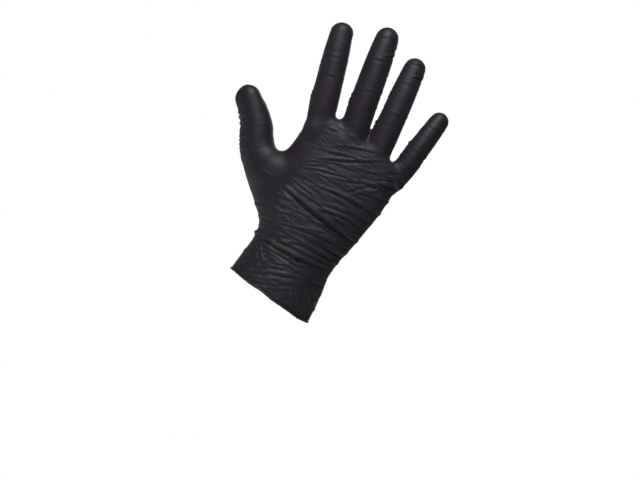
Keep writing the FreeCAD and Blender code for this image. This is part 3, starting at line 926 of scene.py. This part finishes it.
def cut_faces(bm, faces, middle, along):
    """Cuts some faces along a plane, with their edges and corners in a fixed order."""
    parts = faces + [e for f in faces for e in f.edges] + [v for f in faces for v in f.verts]
    bmesh.ops.bisect_plane(bm, geom=list(dict.fromkeys(parts)), dist=SNAP, plane_co=middle,
                           plane_no=Vector(along))


def cut_digit(bm, name, cut):
    """Cuts the skin along a plane across one digit, and nowhere else."""
    start, along, _ = digit_frame(name, cut[0])
    middle = Vector(start + along * cut[1])
    reach = THUMB_CUT_REACH if name == "thumb" else CUT_REACH
    cut_faces(bm, [f for f in bm.faces if (f.calc_center_median() - middle).length < reach], middle, along)


def cut_level(bm, height, drop_below=False):
    """Cuts the skin at a height."""
    bmesh.ops.bisect_plane(bm, geom=bm.verts[:] + bm.edges[:] + bm.faces[:], dist=SNAP,
                           plane_co=(0, 0, height), plane_no=(0, 0, 1), clear_inner=drop_below)


def cut_thumb_line(bm):
    """Cuts the skin between the palm and the thumb's root."""
    faces = [f for f in bm.faces if abs(f.calc_center_median().x - THUMB_LINE) < 3 * MM
             and CUFF_TOP < f.calc_center_median().z < ROOT_TOP + 2 * MM]
    cut_faces(bm, faces, (THUMB_LINE, 0, 0), (1, 0, 0))


bm = bmesh.new()
bm.from_mesh(glove.data)
cut_level(bm, TRIM, drop_below=True)
cut_level(bm, CUFF_TOP)
for name, cuts in CUTS.items():
    for cut in cuts:
        cut_digit(bm, name, cut)
cut_thumb_line(bm)
bm.to_mesh(glove.data)
bm.free()
print("cut skin:", len(glove.data.polygons), "faces")

# %% [markdown]
# ### Slack of the mouth
# Nothing stretches the film at the mouth of the cuff, so it hangs a little lower on the back of the hand,
# and it waves. The points move after the trim, which keeps the edge easy to find for the rim.

# %% Slack of the mouth
SAG = 1.1
SAG_HEIGHT = 10


def sagged(points):
    """The mouth hangs a little lower on the back of the hand, and waves."""
    x, y, z = (points / MM).T
    around = np.arctan2(y, x)
    drop = -SAG * np.maximum(-np.sin(around), 0)
    drop = drop + 0.35 * np.sin(3 * around + 0.6) + 0.3 * np.sin(7 * around + 2)
    return points + np.outer(drop * np.exp(-z / SAG_HEIGHT) * MM, (0, 0, 1))


mouth = rows_of(glove.data.vertices, "co")
mouth = mouth[np.abs(mouth[:, 2] - TRIM) < 1e-6]
mouth = sagged(mouth[np.argsort(np.arctan2(mouth[:, 1], mouth[:, 0]))])
glove.data.vertices.foreach_set("co", sagged(rows_of(glove.data.vertices, "co")).ravel())
glove.data.update()
print("mouth:", len(mouth), "points")

# %% [markdown]
# ### Sorting the faces
# Each face lies on one side of every cut near it. So its middle says which piece it is part of, by the
# digit that it is nearest to and the cuts that it lies beyond.

# %% Sorting faces into pieces
THUMB_FREE = -60 * MM
FINGER_NEAR = 15 * MM
PIECES = (["cuff", "palm", "thumb_root", "thumb_knuckle", "thumb_tip"]
          + [f"{name}_{zone}" for name in FINGERS for zone in ("knuckle", "middle", "tip")])


def piece_of_faces(mesh):
    """The number of the piece that each face belongs to."""
    centres = rows_of(mesh.polygons, "center")
    who, _, _, far = digit_places(centres)
    piece = np.where(centres[:, 2] < CUFF_TOP, PIECES.index("cuff"), PIECES.index("palm"))
    thumb = (centres[:, 0] < THUMB_LINE) & (centres[:, 2] > CUFF_TOP)
    thumb &= (who == NAMES.index("thumb")) | (centres[:, 2] < ROOT_TOP)
    free = centres[:, 0] < THUMB_FREE
    for zone, cut in zip(("root", "knuckle", "tip"), [None, *THUMB_CUTS]):
        on = thumb if cut is None else thumb & free & past_cut(centres, "thumb", cut)
        piece[on] = PIECES.index(f"thumb_{zone}")
    for name in FINGERS:
        near_finger = (who == NAMES.index(name)) & (far < FINGER_NEAR)
        for zone, cut in zip(("knuckle", "middle", "tip"), CUTS[name]):
            piece[near_finger & past_cut(centres, name, cut)] = PIECES.index(f"{name}_{zone}")
    return piece


print("pieces of film:", len(PIECES))

# %% [markdown]
# ## From skin to film
# Each piece gets a wall as thick as the film, inwards. A Solidify modifier would do, but the wall is part
# of the shape, so it is made in the mesh. The shading normals come from the whole skin, from before the
# pieces part, so that light runs across a cut as if it were not there.

# %% Film pieces
FILM_THICKNESS = 0.15 * MM
FACING = 0.35  # how closely a face agrees with the whole skin if it is its outside or its inside


def store_whole_normals(mesh):
    """Keeps the whole skin's normals as an attribute."""
    attribute = mesh.attributes.new("whole_normal", "FLOAT_VECTOR", "POINT")
    attribute.data.foreach_set("vector", rows_of(mesh.vertex_normals, "vector").ravel())


def film_piece(number, piece):
    """One piece of the skin, as a thin shell with its own name."""
    bm = bmesh.new()
    bm.from_mesh(glove.data)
    bm.faces.ensure_lookup_table()
    others = [face for face, own in zip(bm.faces, piece) if own != number]
    bmesh.ops.delete(bm, geom=others, context="FACES")
    bmesh.ops.solidify(bm, geom=bm.faces[:], thickness=FILM_THICKNESS)
    return to_mesh(bm, f"film_{PIECES[number]}")


def shade_whole(mesh):
    """Outside and inside follow the whole skin's normals, and the thin cut edges stay flat."""
    whole = rows_of(mesh.attributes["whole_normal"].data, "vector")
    corners = np.empty(len(mesh.loops), int)
    mesh.loops.foreach_get("vertex_index", corners)
    sizes = np.empty(len(mesh.polygons), int)
    mesh.polygons.foreach_get("loop_total", sizes)
    flat = np.repeat(rows_of(mesh.polygons, "normal"), sizes, axis=0)
    side = (flat * whole[corners]).sum(axis=1)[:, None]
    normals = np.where(side > FACING, whole[corners], np.where(side < -FACING, -whole[corners], flat))
    mesh.polygons.foreach_set("use_smooth", np.ones(len(mesh.polygons), bool))
    mesh.normals_split_custom_set([tuple(normal) for normal in normals])
    mesh.attributes.remove(mesh.attributes["whole_normal"])


store_whole_normals(glove.data)
face_piece = piece_of_faces(glove.data)
film = {}
for number, name in enumerate(PIECES):
    mesh = film_piece(number, face_piece)
    shade_whole(mesh)
    film[name] = to_scene(f"film_{name}", mesh)
    mesh.materials.append(FILM)
    triangles = sum(len(face.vertices) - 2 for face in mesh.polygons)
    print(f"{name}: {triangles} triangles")

# %% [markdown]
# ## The rolled rim
# The rim is the film's own edge, rolled up into a round bead under two millimetres thick. A curve with a
# bevel would be quicker, but its thickness would be too even. So circles are joined along a path, which
# is read from the trimmed edge of the cuff.

# %% Rim
RIM_RINGS, RIM_SIDES = 220, 16
RIM_BELOW = 0.7  # how far the bead's middle lies below the trimmed edge, in radii


def even_points(line, count):
    """Evenly spaced places round a closed line."""
    closed = np.vstack([line, line[:1]])
    run = np.concatenate([[0], np.cumsum(np.linalg.norm(np.diff(closed, axis=0), axis=1))])
    at = np.linspace(0, run[-1], count, endpoint=False)
    return np.array([np.interp(at, run, closed[:, k]) for k in range(3)]).T


def make_rim():
    """A round bead along the mouth, a little uneven as a rolled edge is."""
    path = even_points(mouth, RIM_RINGS)
    path = (np.roll(path, 1, axis=0) + 2 * path + np.roll(path, -1, axis=0)) / 4
    bm = bmesh.new()
    loops = []
    for n, spot in enumerate(path):
        along = unit(path[(n + 1) % len(path)] - path[n - 1])
        out = unit(np.cross(along, (0, 0, 1)))
        radius = BEAD * (1 + 0.10 * math.sin(n * 0.9) * math.sin(n * 0.13) + 0.05 * math.sin(n * 0.37))
        centre = spot - np.array([0, 0, BEAD * RIM_BELOW])
        turn = Matrix((out * radius, (0, 0, radius), along)).transposed().to_4x4()
        loops.append(ring(bm, Matrix.Translation(centre) @ turn, segments=RIM_SIDES))
    for near_loop, far_loop in zip(loops, loops[1:] + loops[:1]):
        bmesh.ops.bridge_loops(bm, edges=list(near_loop | far_loop))
    bmesh.ops.recalc_face_normals(bm, faces=bm.faces)
    for face in bm.faces:
        face.smooth = True
    mesh = to_mesh(bm, "rolled_rim")
    slack = mesh.attributes.new("slack", "FLOAT", "POINT")
    slack.data.foreach_set("value", np.full(len(mesh.vertices), 0.5, np.float32))
    mesh.materials.append(RIM)
    return to_scene("rolled_rim", mesh)


rim = make_rim()
bpy.data.objects.remove(glove)
print("rim:", len(rim.data.polygons), "faces")

# %% [markdown]
# ## Joints
# Last, the rim rides on the cuff's body and the palm's piece on the hand's body; the other pieces keep
# their places baked into their meshes. A stiff piece could ride on one bone, but film has no hinge: over a
# joint it turns smoothly from one bone to the next. Each piece also hides the zones of the construction
# that it stands for.

# %% Riding, and the zones that the film stands for
# where a bend starts and ends: by height at the wrist, by X at the thumb's root, by distance along the
# thumb's second bone, and before and after its last joint
WRIST_BEND = (22 * MM, 54 * MM)
ROOT_BEND = (-54 * MM, -66 * MM)
THUMB_BEND = (8.2 * MM, 18.6 * MM)
THUMB_TIP_BEND = (6.5 * MM, 7 * MM)


def spot(name, bone, distance):
    """A point on a digit's chain, for the start or end of a bend."""
    start, along, _ = digit_frame(name, bone)
    return tuple(float(value) for value in start + along * distance)


def bend(piece, first, second, start, end, *nodes):
    """Bakes a piece's place into its mesh, and hides the zones that it stands for."""
    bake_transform(film[piece])
    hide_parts(*nodes)


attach(rim, "cuff")
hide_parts("cuff_bead")
bend("cuff", "cuff", "hand", (0, 0, WRIST_BEND[0]), (0, 0, WRIST_BEND[1]), "cuff", "wrist_crease")
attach(film["palm"], "hand")
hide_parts("hand", "knuckle_crease")
bend("thumb_root", "hand", "thumb_base", (ROOT_BEND[0], 0, 0), (ROOT_BEND[1], 0, 0),
     "thumb_root_crease", "thumb_base")
bend("thumb_knuckle", "thumb_base", "thumb_middle", spot("thumb", 1, THUMB_BEND[0]),
     spot("thumb", 1, THUMB_BEND[1]), "thumb_knuckle_crease", "thumb_middle")
length = digit_frame("thumb", 1)[2]
bend("thumb_tip", "thumb_middle", "thumb_tip", spot("thumb", 1, length - THUMB_TIP_BEND[0]),
     spot("thumb", 2, THUMB_TIP_BEND[1]), "thumb_tip_crease", "thumb_tip")
for name in FINGERS:
    first, second = (digit_frame(name, bone)[2] for bone in (0, 1))
    (_, start), (_, cut), _ = CUTS[name]
    bend(f"{name}_knuckle", "hand", f"{name}_proximal", spot(name, 0, start), spot(name, 0, cut),
         f"{name}_proximal")
    bend(f"{name}_middle", f"{name}_proximal", f"{name}_middle", spot(name, 0, first * (1 - SHARE)),
         spot(name, 1, second * SHARE), f"{name}_middle_crease", f"{name}_middle")
    bend(f"{name}_tip", f"{name}_middle", f"{name}_tip", spot(name, 1, second - TIP_ROOM),
         spot(name, 2, TIP_ROOM), f"{name}_tip_crease", f"{name}_tip")
